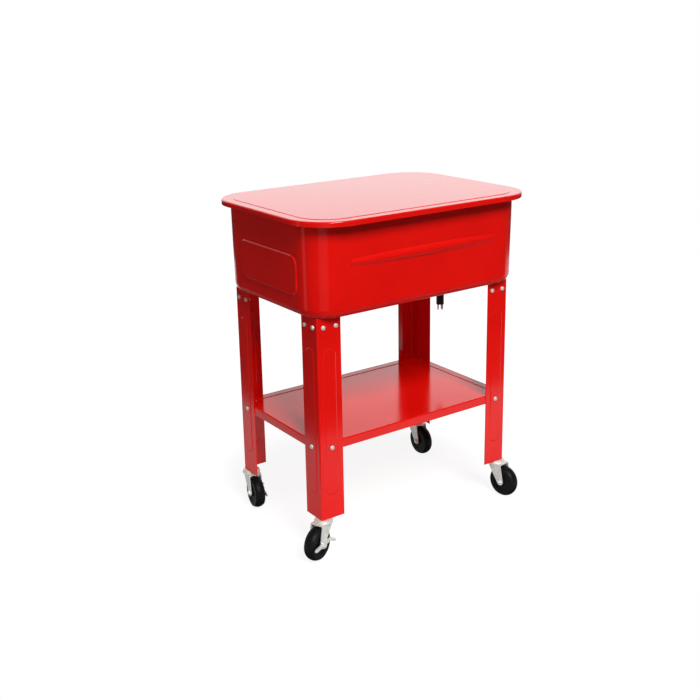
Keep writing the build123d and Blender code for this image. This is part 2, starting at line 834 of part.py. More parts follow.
# Work tray on angle supports welded to the front and rear walls
tray_level = tub_bottom + tray_above_bottom
tray_width = tray_left + tray_right
tray_middle = (tray_right - tray_left) / 2
support_places = (tray_middle - support_reach_x, tray_middle + support_reach_x)
with BuildPart() as tray_supports:
    wall_y = tub_depth / 2 - wall_inset(tray_level)
    for x in support_places:
        for side in (-1, 1):
            outward = Align.MAX if side > 0 else Align.MIN
            with Locations((x, side * wall_y, tray_level)):
                seat = (Align.CENTER, outward, Align.MAX)
                Box(support_length, support_depth, support_sheet, align=seat)
                Box(support_length, sheet + support_sheet, support_depth, align=seat)
    add(tub_cavity.part, mode=Mode.INTERSECT)
save(tray_supports, "tray_supports")

with BuildPart() as work_tray:
    with BuildSketch(Plane.XY.offset(tray_level)):
        with Locations((tray_middle, 0)):
            RectangleRounded(tray_width, tray_depth, tray_corner)
    extrude(amount=tray_lip)
    with BuildSketch(Plane.XY.offset(tray_level + sheet)):
        with Locations((tray_middle, 0)):
            RectangleRounded(tray_width - 2 * sheet, tray_depth - 2 * sheet, tray_corner - sheet)
    extrude(amount=tray_lip, mode=Mode.SUBTRACT)
    with BuildSketch(Plane.XY.offset(tray_level)):
        rows = int((tray_depth - tray_corner) / tray_hole_pitch)
        columns = int((tray_width - tray_corner) / tray_hole_pitch)
        with Locations((tray_middle, 0)):
            with GridLocations(tray_hole_pitch, tray_hole_pitch, columns, rows):
                Circle(tray_hole_radius)
    extrude(amount=sheet, mode=Mode.SUBTRACT)
save(work_tray, "work_tray")

# Pump on the tub floor, its hose, and the spout on a wall bracket
floor_level = tub_bottom + sheet
with BuildPart() as pump_strainer:
    with BuildSketch(Plane.XY.offset(floor_level)):
        with Locations((pump_x, pump_y)):
            RectangleRounded(pump_width, pump_depth, pump_edge_radius)
    extrude(amount=strainer_height)
    with BuildSketch(Plane.XY.offset(floor_level)):
        with Locations((pump_x, pump_y)):
            with GridLocations(pump_edge_radius, 0, int(pump_width / pump_edge_radius) - 2, 1):
                Rectangle(pump_edge_radius / 3, 2 * pump_depth)
    extrude(amount=strainer_height / 2, mode=Mode.SUBTRACT)
save(pump_strainer, "pump_strainer")

pump_level = floor_level + strainer_height
hose_bottom = pump_level + pump_height
bracket_level = tub_bottom + spout_bracket_above_bottom
with BuildPart() as pump_body:
    with BuildSketch(Plane.XY.offset(pump_level)):
        with Locations((pump_x, pump_y)):
            RectangleRounded(pump_width, pump_depth, pump_edge_radius)
    extrude(amount=pump_height)
    fillet(pump_body.faces().sort_by(Axis.Z)[-1].edges(), pump_edge_radius / 2)
    with BuildSketch(Plane.XY.offset(hose_bottom)):
        with Locations((pump_x, spout_y)):
            Circle(hose_bore - running_clearance)
    extrude(amount=outlet_height)
save(pump_body, "pump_body")

with BuildPart() as pump_hose:
    with BuildSketch(Plane.XY.offset(hose_bottom)):
        with Locations((pump_x, spout_y)):
            Circle(hose_radius)
            Circle(hose_bore, mode=Mode.SUBTRACT)
    extrude(amount=bracket_level - support_sheet - hose_bottom)
save(pump_hose, "pump_hose")

with BuildPart() as spout_bracket:
    wall_y = tub_depth / 2 - wall_inset(bracket_level)
    bracket_depth = wall_y - spout_y + spout_bracket_width / 2
    with Locations((pump_x, wall_y, bracket_level)):
        Box(spout_bracket_width, bracket_depth, support_sheet, align=(Align.CENTER, Align.MAX, Align.MAX))
        Box(
            spout_bracket_width,
            sheet + support_sheet,
            spout_bracket_width,
            align=(Align.CENTER, Align.MAX, Align.MAX),
        )
    add(tub_cavity.part, mode=Mode.INTERSECT)
    with BuildSketch(Plane.XY.offset(bracket_level)):
        with Locations((pump_x, spout_y)):
            Circle(hose_bore)
    extrude(amount=-support_sheet, mode=Mode.SUBTRACT)
save(spout_bracket, "spout_bracket")

spout_foot = bracket_level + spout_base_height
with BuildPart() as spout_base:
    with BuildSketch(Plane.XY.offset(bracket_level)):
        with Locations((pump_x, spout_y)):
            hexagon(2 * spout_base_radius)
            Circle(hose_bore - running_clearance, mode=Mode.SUBTRACT)
    extrude(amount=spout_base_height)
save(spout_base, "spout_base")

heading = math.radians(spout_heading)
spout_plane = Plane(
    origin=(pump_x, spout_y, 0),
    x_dir=(math.cos(heading), math.sin(heading), 0),
    z_dir=(math.sin(heading), -math.cos(heading), 0),
)
spout_crest = spout_foot + seat_gap + spout_rise + spout_bend
tip_angle = math.degrees(math.acos(1 - spout_tip_drop / 2 / spout_tip_bend))
with BuildPart() as spout:
    with BuildLine(spout_plane) as spout_path:
        Line((0, spout_foot + seat_gap), (0, spout_crest - spout_bend))
        RadiusArc((0, spout_crest - spout_bend), (spout_bend, spout_crest), spout_bend)
        Line((spout_bend, spout_crest), (spout_bend + spout_reach, spout_crest))
        JernArc((spout_bend + spout_reach, spout_crest), (1, 0), spout_tip_bend, -tip_angle)
    with BuildSketch(Plane.XY.offset(spout_foot + seat_gap)):
        with Locations((pump_x, spout_y)):
            Circle(spout_radius)
            Circle(spout_bore, mode=Mode.SUBTRACT)
    sweep(path=spout_path.wires()[0])
save(spout, "spout")

spout_end = spout_path.wires()[0]
with BuildPart() as spout_nozzle:
    with BuildSketch(Plane(origin=spout_end @ 1, z_dir=spout_end % 1)):
        Circle(nozzle_radius)
        Circle(spout_bore, mode=Mode.SUBTRACT)
    extrude(amount=nozzle_length, taper=6)
save(spout_nozzle, "spout_nozzle")

# Drain socket under the tub floor, closed by a screw plug
with BuildPart() as drain_socket:
    with BuildSketch(Plane.XY.offset(tub_bottom)):
        Circle(drain_radius)
        Circle(drain_bore, mode=Mode.SUBTRACT)
    extrude(amount=-drain_length)
save(drain_socket, "drain_socket")

with BuildPart() as drain_plug:
    with BuildSketch(Plane.XY.offset(tub_bottom - drain_length)):
        Circle(drain_bore - thread_clearance)
    extrude(amount=drain_length)
    with BuildSketch(Plane.XY.offset(tub_bottom - drain_length)):
        hexagon(plug_head_across)
    extrude(amount=-plug_head_height)
save(drain_plug, "drain_plug")

# Switch box on the right-hand end wall
box_top = rim_top - box_below_rim
box_level = box_top - box_height / 2
box_face = tub_width / 2 + box_depth
rocker_x = box_face - rocker_pivot_in
pocket_height = rocker_height + 2 * rocker_clearance + rocker_depth * math.sin(math.radians(rocker_tilt)) * 2
pocket_width = rocker_width + 2 * rocker_clearance
with BuildPart() as switch_box:
    with BuildSketch(side_plane((box_face, cord_y, box_level), 1)):
        RectangleRounded(box_width, box_height, box_corner)
    extrude(amount=-box_depth - 6 * sheet)
    fillet(switch_box.faces().sort_by(Axis.X)[-1].edges(), box_wall / 2)
    with BuildSketch(side_plane((box_face - box_wall, cord_y, box_level), 1)):
        RectangleRounded(box_width - 2 * box_wall, box_height - 2 * box_wall, box_corner / 2)
    extrude(amount=-box_depth - 6 * sheet, mode=Mode.SUBTRACT)
    with BuildSketch(side_plane((box_face - box_wall, cord_y, box_level), 1)):
        RectangleRounded(pocket_width + 2 * box_wall, pocket_height + 2 * box_wall, box_corner / 2)
    extrude(amount=-rocker_depth - box_wall)
    with BuildSketch(side_plane((box_face, cord_y, box_level), 1)):
        Rectangle(pocket_width, pocket_height)
    extrude(amount=-rocker_depth - box_wall, mode=Mode.SUBTRACT)
    with BuildSketch(Plane(origin=(rocker_x, cord_y, box_level), z_dir=(0, 1, 0))):
        Circle(rocker_pin_radius + running_clearance)
    extrude(amount=rocker_width / 2 + rocker_pin_length, both=True, mode=Mode.SUBTRACT)
    add(tub_form.part, mode=Mode.SUBTRACT)
save(switch_box, "switch_box")

rocker_rear = rocker_depth - rocker_pivot_in
rocker_front = rocker_pivot_in - rocker_clearance
tilt_angle = math.radians(rocker_tilt)
tilt = Plane(
    origin=(rocker_x, cord_y, box_level),
    x_dir=(math.cos(tilt_angle), 0, math.sin(tilt_angle)),
    z_dir=(0, -1, 0),
)
with BuildPart() as switch_rocker:
    with BuildSketch(tilt):
        with BuildLine():
            rocker_half = rocker_height / 2
            ThreePointArc((rocker_front, -rocker_half), (rocker_front - 1, 0), (rocker_front, rocker_half))
            Polyline(
                (rocker_front, rocker_half),
                (-rocker_rear, rocker_half),
                (-rocker_rear, -rocker_half),
                (rocker_front, -rocker_half),
            )
        make_face()
    extrude(amount=rocker_width / 2, both=True)
    with BuildSketch(tilt):
        Circle(rocker_pin_radius)
    extrude(amount=rocker_width / 2 + rocker_pin_length - rocker_clearance, both=True)
save(switch_rocker, "switch_rocker")

# Inner lead from the box down to the pump
lead_start = (tub_width / 2, cord_y, pump_lead_level)
lead_corner = (pump_x, cord_y, pump_lead_level)
lead_end = (pump_x, cord_y, hose_bottom)
with BuildPart() as pump_lead:
    with BuildLine() as lead_path:
        lead_run = min(tub_width / 2 - pump_x, pump_lead_level - hose_bottom)
        FilletPolyline(lead_start, lead_corner, lead_end, radius=0.45 * lead_run)
    with BuildSketch(Plane(origin=lead_start, z_dir=(-1, 0, 0))):
        Circle(pump_lead_diameter / 2)
    sweep(path=lead_path.wires()[0])
save(pump_lead, "pump_lead")

# Mains cord: gland, lead, tied coil against the end wall, tail and plug
coil_back_x = pad_face + coil_wall_gap + cord_diameter / 2
coil_front_x = coil_back_x + coil_pitch
gland_tip = box_top - box_height - gland_length
coil_level = box_top - box_height - coil_drop
with BuildPart() as cord_gland:
    with BuildSketch(Plane.XY.offset(gland_tip + gland_length)):
        with Locations((coil_back_x, cord_y)):
            Circle(gland_top_radius)
    with BuildSketch(Plane.XY.offset(gland_tip)):
        with Locations((coil_back_x, cord_y)):
            Circle(gland_tip_radius)
    loft()
save(cord_gland, "cord_gland")


def straight_cord(x, low, high):
    with BuildSketch(Plane.XY.offset(low)) as outline:
        with Locations((x, cord_y)):
            Circle(cord_diameter / 2)
    extrude(outline.sketch, amount=high - low)


coil_top = coil_level + cord_diameter
coil_tail = coil_level - cord_diameter
with BuildPart() as cord_lead:
    straight_cord(coil_back_x, coil_top, gland_tip)
save(cord_lead, "cord_lead")

# The coil spirals in against the wall, climbs one layer in its innermost half turn and spirals out again
inward_turns = coil_half_turns // 2
coil_sides = []
for step in range(coil_half_turns + 1):
    x = coil_back_x if step <= inward_turns else coil_front_x
    turns_in = step // 2 if step <= inward_turns else (coil_half_turns + 1 - step) // 2
    right = cord_y - turns_in * coil_pitch
    left = cord_y - 2 * coil_radius + turns_in * coil_pitch
    coil_sides.append(Vector(x, right if step % 2 == 0 else left, coil_level))
coil_middles = []
for step in range(coil_half_turns):
    start, end = coil_sides[step], coil_sides[step + 1]
    reach = (end - start).length / 2
    coil_middles.append((start + end) / 2 + Vector(0, 0, -reach if step % 2 == 0 else reach))

with BuildPart() as cord_coil:
    with BuildLine() as coil_path:
        Line((coil_back_x, cord_y, coil_top), coil_sides[0])
        for step in range(coil_half_turns):
            ThreePointArc(coil_sides[step], coil_middles[step], coil_sides[step + 1])
        Line(coil_sides[-1], (coil_front_x, cord_y, coil_tail))
    with BuildSketch(Plane.XY.offset(coil_top)):
        with Locations((coil_back_x, cord_y)):
            Circle(cord_diameter / 2)
    sweep(path=coil_path.wires()[0])
save(cord_coil, "cord_coil")

coil_wire = coil_path.wires()[0]
sample_step = 3
samples = int(coil_wire.length / sample_step)
trace = [coil_wire @ (index / samples) for index in range(samples + 1)]
apart = int(3 * cord_diameter / sample_step)
least = min(
    (trace[i] - trace[j]).length for i in range(len(trace)) for j in range(i + apart, len(trace))
)
coil_share = cord_coil.part.volume / (math.pi * cord_diameter**2 / 4 * coil_wire.length)
print(f"coil length {coil_wire.length:.0f} mm, volume share {coil_share:.4f}")
print(f"coil least gap to itself {least - cord_diameter:.2f} mm")

plug_tip = tub_bottom - plug_below_tub
plug_top = plug_tip + plug_body_height
relief_top = plug_top + plug_relief_height
with BuildPart() as cord_tail:
    straight_cord(coil_front_x, relief_top, coil_tail)
save(cord_tail, "cord_tail")
cord_length = (gland_tip - coil_top) + coil_wire.length + (coil_tail - relief_top)
print(f"cord length {cord_length:.0f} mm, overall height {lid_border_top + panel_rise:.1f} mm")

# Tie round the turns at the top of the coil, threaded through a saddle on the wall
tie_y = cord_y - coil_radius
bundle_high = coil_level + coil_radius - coil_pitch / 2 + cord_diameter / 2 + tie_clearance
inner_turn = coil_level + coil_radius - (inward_turns - 1) * coil_pitch / 2
bundle_low = inner_turn - cord_diameter / 2 - 2 * tie_clearance
saddle_face = coil_back_x - cord_diameter / 2 - seat_gap
strap_back = saddle_face - tie_sheet - tie_clearance
strap_front = coil_front_x + cord_diameter / 2 + tie_clearance
tie_plane = Plane(origin=(0, tie_y, 0), x_dir=(1, 0, 0), z_dir=(0, -1, 0))
tie_middle = ((strap_back + strap_front) / 2, (bundle_low + bundle_high) / 2)
with BuildPart() as cord_tie:
    with BuildSketch(tie_plane):
        with Locations(tie_middle):
            tie_width_inside = strap_front - strap_back
            tie_height_inside = bundle_high - bundle_low
            wrap = 2 * tie_sheet
            RectangleRounded(tie_width_inside + wrap, tie_height_inside + wrap, wrap)
            RectangleRounded(tie_width_inside, tie_height_inside, tie_sheet, mode=Mode.SUBTRACT)
    extrude(amount=tie_width / 2, both=True)
    with Locations((strap_front + tie_sheet, tie_y, tie_middle[1])):
        tie_head = (Align.MIN, Align.CENTER, Align.CENTER)
        Box(tie_width - tie_sheet, tie_width + tie_sheet, tie_width, align=tie_head)
save(cord_tie, "cord_tie")

with BuildPart() as tie_saddle:
    with Locations((saddle_face, tie_y, tie_middle[1])):
        Box(
            coil_wall_gap + 2 * pad_rise,
            saddle_width,
            saddle_height,
            align=(Align.MAX, Align.CENTER, Align.CENTER),
        )
    slot_x = strap_back - tie_sheet / 2
    with Locations((slot_x, tie_y, tie_middle[1])):
        slot_depth = tie_sheet + 2 * tie_clearance
        Box(slot_depth, tie_width + 2 * tie_clearance, saddle_height, mode=Mode.SUBTRACT)
    add(tub_form.part, mode=Mode.SUBTRACT)
save(tie_saddle, "tie_saddle")

plug_heading_rad = math.radians(plug_heading)
plug_plane = Plane(
    origin=(coil_front_x, cord_y, plug_tip),
    x_dir=(math.cos(plug_heading_rad), math.sin(plug_heading_rad), 0),
    z_dir=(0, 0, 1),
)
with BuildPart() as plug_body:
    with BuildSketch(plug_plane):
        RectangleRounded(plug_body_length, plug_body_width, plug_body_width / 3)
    extrude(amount=plug_body_height)
    fillet(plug_body.faces().sort_by(Axis.Z)[-1].edges(), plug_body_width / 6)
    with BuildSketch(plug_plane.offset(plug_body_height)):
        Circle(plug_relief_bottom_radius)
    with BuildSketch(plug_plane.offset(plug_body_height + plug_relief_height)):
        Circle(plug_relief_top_radius)
    loft()
save(plug_body, "plug_body")

with BuildPart() as plug_prongs:
    with BuildSketch(plug_plane):
        with Locations((-blade_spacing / 2, -pin_offset / 2), (blade_spacing / 2, -pin_offset / 2)):
            Rectangle(blade_sheet, blade_width)
    extrude(amount=-blade_length)
    with BuildSketch(plug_plane):
        with Locations((0, pin_offset / 2)):
            Circle(pin_radius)
    extrude(amount=-pin_length)
save(plug_prongs, "plug_prongs")
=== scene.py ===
import json
import math
import bmesh
import bpy
from mathutils import Matrix, Vector


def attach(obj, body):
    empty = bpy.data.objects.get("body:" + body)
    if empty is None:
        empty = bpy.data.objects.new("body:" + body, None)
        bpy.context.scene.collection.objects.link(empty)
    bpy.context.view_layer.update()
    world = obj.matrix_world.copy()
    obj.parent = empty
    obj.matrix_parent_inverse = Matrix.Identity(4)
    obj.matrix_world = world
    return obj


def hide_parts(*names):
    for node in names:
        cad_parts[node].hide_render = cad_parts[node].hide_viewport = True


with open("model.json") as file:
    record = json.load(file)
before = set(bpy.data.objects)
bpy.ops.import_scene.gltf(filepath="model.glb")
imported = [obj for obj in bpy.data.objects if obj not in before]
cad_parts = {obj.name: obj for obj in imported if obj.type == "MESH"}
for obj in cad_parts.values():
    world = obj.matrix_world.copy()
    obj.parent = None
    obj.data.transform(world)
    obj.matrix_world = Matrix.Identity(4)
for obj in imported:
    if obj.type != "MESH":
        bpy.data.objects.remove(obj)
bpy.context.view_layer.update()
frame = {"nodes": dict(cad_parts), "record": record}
nodes = frame["nodes"]
scene = bpy.context.scene


# camera, solved from the lid, leg and shelf edges of the picture
photoCamera = {
    "azimuth": 34.905,          # degrees round to the left of the front
    "elevation": 15.676,
    "roll": -1.031,
    "distance": 2.79755,        # metres from the target
    "target": (-0.07619, 0.006, 0.61381),
    "focalPixels": 1017.13,
    "imagePixels": 700,
    "centreRow": 300,           # the row that the lens looks straight at
    "sensorMm": 36,
    "clipRange": (0.05, 60),
}


def setCamera(s):
    az, el, roll = (math.radians(s[k]) for k in ("azimuth", "elevation", "roll"))
    ahead = Vector((math.sin(az) * math.cos(el), math.cos(az) * math.cos(el), -math.sin(el)))
    right = Vector((math.cos(az), -math.sin(az), 0))
    up = right.cross(ahead)
    rolledRight = right * math.cos(roll) + up * math.sin(roll)
    rolledUp = up * math.cos(roll) - right * math.sin(roll)
    data = bpy.data.cameras.new("photoCamera")
    data.sensor_width = s["sensorMm"]
    data.lens = s["focalPixels"] / s["imagePixels"] * data.sensor_width
    data.shift_y = (s["centreRow"] - s["imagePixels"] / 2) / s["imagePixels"]
    data.clip_start, data.clip_end = s["clipRange"]
    cam = bpy.data.objects.new("photoCamera", data)
    scene.collection.objects.link(cam)
    turn = Matrix((rolledRight, rolledUp, -ahead)).transposed().to_4x4()
    cam.matrix_world = Matrix.Translation(Vector(s["target"]) - ahead * s["distance"]) @ turn
    scene.camera = cam


setCamera(photoCamera)
print("camera set")


# mains cord: gland, down, round the coil in two layers, then straight down to the plug
cordSettings = {
    "diameter": 0.0075,
    "length": 1.835,
    "backX": 0.354715,          # layer against the wall
    "frontX": 0.362915,         # outer layer
    "cordY": 0.144,
    "glandTip": 0.7828,         # height where the cord starts
    "leadRises": (0.045, 0.012),    # points above the coil's level, on the way down to it
    "coilLevel": 0.7108,
    "coilRadius": 0.055,
    "pitch": 0.0082,
    "halfTurns": 12,
    "pointsPerHalfTurn": 8,
    "tailDrops": (0.012, 0.06),     # points below the coil's level, on the way to the plug
    "tailEnd": 0.5587,
    "roundSteps": 5,            # how fine the jacket is, round and along
    "alongSteps": 6,
}


def coilSides(s):
    sides = []
    inward = s["halfTurns"] // 2
    for step in range(s["halfTurns"] + 1):
        x = s["backX"] if step <= inward else s["frontX"]
        turnsIn = step // 2 if step <= inward else (s["halfTurns"] + 1 - step) // 2
        right = s["cordY"] - turnsIn * s["pitch"]
        left = s["cordY"] - 2 * s["coilRadius"] + turnsIn * s["pitch"]
        sides.append(Vector((x, right if step % 2 == 0 else left, s["coilLevel"])))
    return sides


def cordRoute(s):
    level = s["coilLevel"]
    leadHeights = [s["glandTip"]] + [level + rise for rise in s["leadRises"]]
    tailHeights = [level - drop for drop in s["tailDrops"]] + [s["tailEnd"]]
    points = [Vector((s["backX"], s["cordY"], z)) for z in leadHeights]
    sides = coilSides(s)
    count = s["pointsPerHalfTurn"]
    ownPull, sidePull = 0.75, 0.25      # how an order 3 spline leans on a point and on its two neighbours
    swell = 1 / (ownPull + sidePull * math.cos(math.pi / count))    # it runs inside its points by this much
    for step in range(s["halfTurns"]):
        start, end = sides[step], sides[step + 1]
        middle, reach = (start + end) / 2, (end - start) / 2
        down = Vector((0, 0, -reach.length if step % 2 == 0 else reach.length))
        for i in range(count):
            a = math.pi * (i + 0.5) / count
            points.append(middle + (-reach * math.cos(a) + down * math.sin(a)) * swell)
    points += [Vector((s["frontX"], s["cordY"], z)) for z in tailHeights]
    return points


def makeCord(s):
    points = cordRoute(s)
    data = bpy.data.curves.new("mainsCord", "CURVE")
    data.dimensions = "3D"
    data.bevel_depth = 1.0      # times each point's radius, which the box of the curve counts in metres
    data.bevel_resolution = s["roundSteps"]
    data.use_fill_caps = True
    spline = data.splines.new("NURBS")
    spline.points.add(len(points) - 1)
    for p, place in zip(spline.points, points):
        p.co = (*place, 1)
        p.radius = s["diameter"] / 2
    spline.order_u = 3
    spline.use_endpoint_u = True
    spline.resolution_u = s["alongSteps"]
    cord = bpy.data.objects.new("mainsCord", data)
    scene.collection.objects.link(cord)
    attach(cord, "stand")
    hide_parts("cord_lead", "cord_coil", "cord_tail")
    return cord


mainsCord = makeCord(cordSettings)
print("cord laid")


# materials
def toLinear(hexCode):
    values = [int(hexCode[i:i + 2], 16) / 255 for i in (1, 3, 5)]
    return tuple(v / 12.92 if v <= 0.04045 else ((v + 0.055) / 1.055) ** 2.4 for v in values) + (1.0,)


def addNode(tree, kind, settings, links=()):
    node = tree.nodes.new(kind)
    for key, value in settings.items():
        if key == "stops":      # a ramp's positions and colours
            for stop, (position, hexCode) in zip(node.color_ramp.elements, value):
                stop.position = position
                stop.color = toLinear(hexCode)
        elif isinstance(key, int) or key in node.inputs:
            node.inputs[key].default_value = value
        else:
            setattr(node, key, value)
    for socket, source in links:
        tree.links.new(source, node.inputs[socket])
    return node


def startMaterial(name):
    mat = bpy.data.materials.new(name)
    mat.use_nodes = True
    tree = mat.node_tree
    shader = tree.nodes["Principled BSDF"]
    place = addNode(tree, "ShaderNodeTexCoord", {}).outputs["Object"]
    return mat, tree, shader, place


def linkSurface(tree, shader, ramp, rough, bump):
    tree.links.new(ramp.outputs["Color"], shader.inputs["Base Color"])
    tree.links.new(rough.outputs["Result"], shader.inputs["Roughness"])
    tree.links.new(bump.outputs["Normal"], shader.inputs["Normal"])


def mmScale(mm):
    return 1000.0 / mm          # texture units are metres


# gloss polyester powder coat on pressed steel: deep even red, a wet-looking skin, faint orange peel
powderCoat = {
    "colour": "#de1009",
    "deepColour": "#d60d07",
    "cloudMm": 140.0,           # slow drift in the depth of the film
    "cloudDetail": 3.0,
    "cloudStops": (0.3, 0.62),
    "roughness": 0.11,
    "roughnessSpread": 0.06,
    "ior": 1.5,
    "peelMm": 7.0,              # real orange peel is 1 to 2 mm, drawn coarser so that it shows
    "peelDetail": 2.0,
    "peelStrength": 0.02,
    "peelHeight": 0.001,        # metres
}


def makePowderCoat(s):
    mat, tree, shader, place = startMaterial("polyesterPowderCoat")
    cloud = addNode(tree, "ShaderNodeTexNoise", {
        "Scale": mmScale(s["cloudMm"]), "Detail": s["cloudDetail"]}, [("Vector", place)])
    peel = addNode(tree, "ShaderNodeTexNoise", {
        "Scale": mmScale(s["peelMm"]), "Detail": s["peelDetail"]}, [("Vector", place)])
    deepStop, fullStop = s["cloudStops"]
    ramp = addNode(tree, "ShaderNodeValToRGB", {
        "stops": ((deepStop, s["deepColour"]), (fullStop, s["colour"]))}, [("Fac", cloud.outputs["Fac"])])
    rough = addNode(tree, "ShaderNodeMapRange", {
        "To Min": s["roughness"], "To Max": s["roughness"] + s["roughnessSpread"]},
        [("Value", cloud.outputs["Fac"])])
    bump = addNode(tree, "ShaderNodeBump", {
        "Strength": s["peelStrength"], "Distance": s["peelHeight"]}, [("Height", peel.outputs["Fac"])])
    linkSurface(tree, shader, ramp, rough, bump)
    shader.inputs["IOR"].default_value = s["ior"]
    return mat


# bright zinc plate on pressed and turned steel: pale, near neutral, soft spangle and fine draw marks
zincPlate = {
    "colour": "#f0f1ec",
    "shade": "#dcded9",
    "spangleMm": 5.0,
    "roughness": 0.46,
    "roughnessSpread": 0.14,
    "drawMm": 1.2,              # real draw marks are about 0.2 mm, drawn coarser so that they show
    "drawDetail": 3.0,
    "drawStrength": 0.06,
    "drawHeight": 0.0004,       # metres
    "metal": 0.55,              # the dull white bloom of passivated zinc takes the rest
}

# bare brass, turned or stamped: warm, tarnished a little in patches, with the same fine marks
bareBrass = {
    **zincPlate,
    "colour": "#d9b061",
    "shade": "#a87f3c",
    "spangleMm": 9.0,
    "roughness": 0.24,
    "roughnessSpread": 0.2,
    "drawMm": 0.9,
    "metal": 1.0,
}


def makePlainMetal(name, s):
    mat, tree, shader, place = startMaterial(name)
    spangle = addNode(tree, "ShaderNodeTexVoronoi", {"Scale": mmScale(s["spangleMm"])}, [("Vector", place)])
    marks = addNode(tree, "ShaderNodeTexNoise", {
        "Scale": mmScale(s["drawMm"]), "Detail": s["drawDetail"]}, [("Vector", place)])
    ramp = addNode(tree, "ShaderNodeValToRGB", {
        "stops": ((0.0, s["shade"]), (1.0, s["colour"]))}, [("Fac", spangle.outputs["Color"])])
    rough = addNode(tree, "ShaderNodeMapRange", {
        "To Min": s["roughness"], "To Max": s["roughness"] + s["roughnessSpread"]},
        [("Value", marks.outputs["Fac"])])
    bump = addNode(tree, "ShaderNodeBump", {
        "Strength": s["drawStrength"], "Distance": s["drawHeight"]}, [("Height", marks.outputs["Fac"])])
    linkSurface(tree, shader, ramp, rough, bump)
    shader.inputs["Metallic"].default_value = s["metal"]
    return mat


# moulded rubber and plastics: near black apart from the rocker, satin, fine grain and a little bloom
# the real grain is under 0.5 mm, drawn coarser so that it shows
mouldedShared = {
    "grainDetail": 4.0,
    "grainHeight": 0.0005,      # metres
    "bloomPerGrain": 12,        # patches of bloom are this many grains wide
    "bloomDetail": 2.0,
    "bloomStops": (0.35, 0.75),
    "roughnessSteps": (-0.06, 0.08),
    "specular": 0.5,
}
mouldedFinishes = {
    "wheelRubber": {
        "colour": "#090b0d", "bloom": "#0f1113", "roughness": 0.48, "grainMm": 2.0, "bump": 0.08,
        "specular": 0.14},      # matt tread and sides
    "bumperRubber": {
        "colour": "#1a1a1a", "bloom": "#262626", "roughness": 0.62, "grainMm": 1.6, "bump": 0.10},
    "hoseRubber": {
        "colour": "#1c1c1d", "bloom": "#2a2a2b", "roughness": 0.55, "grainMm": 2.5, "bump": 0.10},
    "pvcCordJacket": {
        "colour": "#171718", "bloom": "#222224", "roughness": 0.40, "grainMm": 3.0, "bump": 0.05},
    "absBlack": {
        "colour": "#1d1d1e", "bloom": "#29292b", "roughness": 0.48, "grainMm": 1.2, "bump": 0.15},
    "nylonTie": {
        "colour": "#202021", "bloom": "#2b2b2c", "roughness": 0.38, "grainMm": 2.0, "bump": 0.04},
    "rockerRed": {
        "colour": "#a8140f", "bloom": "#b81a13", "roughness": 0.25, "grainMm": 4.0, "bump": 0.02},
}


def makeMoulded(name, s):
    mat, tree, shader, place = startMaterial(name)
    grain = addNode(tree, "ShaderNodeTexNoise", {
        "Scale": mmScale(s["grainMm"]), "Detail": s["grainDetail"]}, [("Vector", place)])
    bloom = addNode(tree, "ShaderNodeTexNoise", {
        "Scale": mmScale(s["grainMm"] * s["bloomPerGrain"]), "Detail": s["bloomDetail"]}, [("Vector", place)])
    plainStop, bloomStop = s["bloomStops"]
    ramp = addNode(tree, "ShaderNodeValToRGB", {
        "stops": ((plainStop, s["colour"]), (bloomStop, s["bloom"]))}, [("Fac", bloom.outputs["Fac"])])
    smoothest, roughest = (s["roughness"] + step for step in s["roughnessSteps"])
    rough = addNode(tree, "ShaderNodeMapRange", {
        "To Min": smoothest, "To Max": roughest}, [("Value", grain.outputs["Fac"])])
    bump = addNode(tree, "ShaderNodeBump", {
        "Strength": s["bump"], "Distance": s["grainHeight"]}, [("Height", grain.outputs["Fac"])])
    linkSurface(tree, shader, ramp, rough, bump)
    shader.inputs["Specular IOR Level"].default_value = s["specular"]
    return mat


finishes = {
    "coat": makePowderCoat(powderCoat),
    "zinc": makePlainMetal("zincPlatedSteel", zincPlate),
    "brass": makePlainMetal("bareBrass", bareBrass),
}
for key, s in mouldedFinishes.items():
    finishes[key] = makeMoulded(key, {**mouldedShared, **s})

finishForSlot = {
    "red_powder_coat": "coat",
    "zinc_plated_steel": "zinc",
    "spout_steel": "zinc",
    "wheel_rubber": "wheelRubber",
    "bumper_rubber": "bumperRubber",
    "hose_rubber": "hoseRubber",
    "cord_jacket": "pvcCordJacket",
    "black_plastic": "absBlack",
    "rocker_plastic": "rockerRed",
    "tie_plastic": "nylonTie",
    "brass": "brass",
}
for part in frame["record"]["subparts"]:
    mesh = nodes[part["node"]].data
    mesh.materials.clear()
    mesh.materials.append(finishes[finishForSlot[part["material_slot"]]])
mainsCord.data.materials.append(finishes["pvcCordJacket"])


# white studio paper on the floor: looks white with a faint shadow, and lights the object from below with a
# painted glow; what gloss sees of it is a painted sheen
paperSheet = {
    "edges": (-0.72, -0.87, 3.2, 3.2),      # metres, left, near, right and far: it ends short of the camera
    "level": -0.0002,           # just under the wheels
    "whiteLevel": (0.90, 1.0),  # its glow as the camera sees it, under the object and away from it, where 1 is white: lower under the object as painted shade, which lets the real shadow show
    "whiteReach": (0.42, 0.66),             # metres from the middle, where that changes
    "shadowGrey": "#696969",    # the part of its look that a shadow can take
    "bounceColour": "#e0e0dd",  # what it throws back on the object
    "paintedShadeFootprint": (2.5, 3.3, 0.0),           # one over the half sizes of the painted shade under the object
    "paintedGlow": (0.14, 0.56),       # painted glow, no lamp, that lights the object from below: lower in that painted shade, higher beyond
    "paintedShadeReach": (1.0, 1.4),                # where that changes, in half sizes of the painted shade
    "paintedSheen": (0.10, 1.0),       # painted sheen: its glow that only gloss sees, looked at straight down and at a grazing angle
    "sheenTurn": (0.45, 0.72),              # where that changes, from 0 straight down to 1 along the paper
}


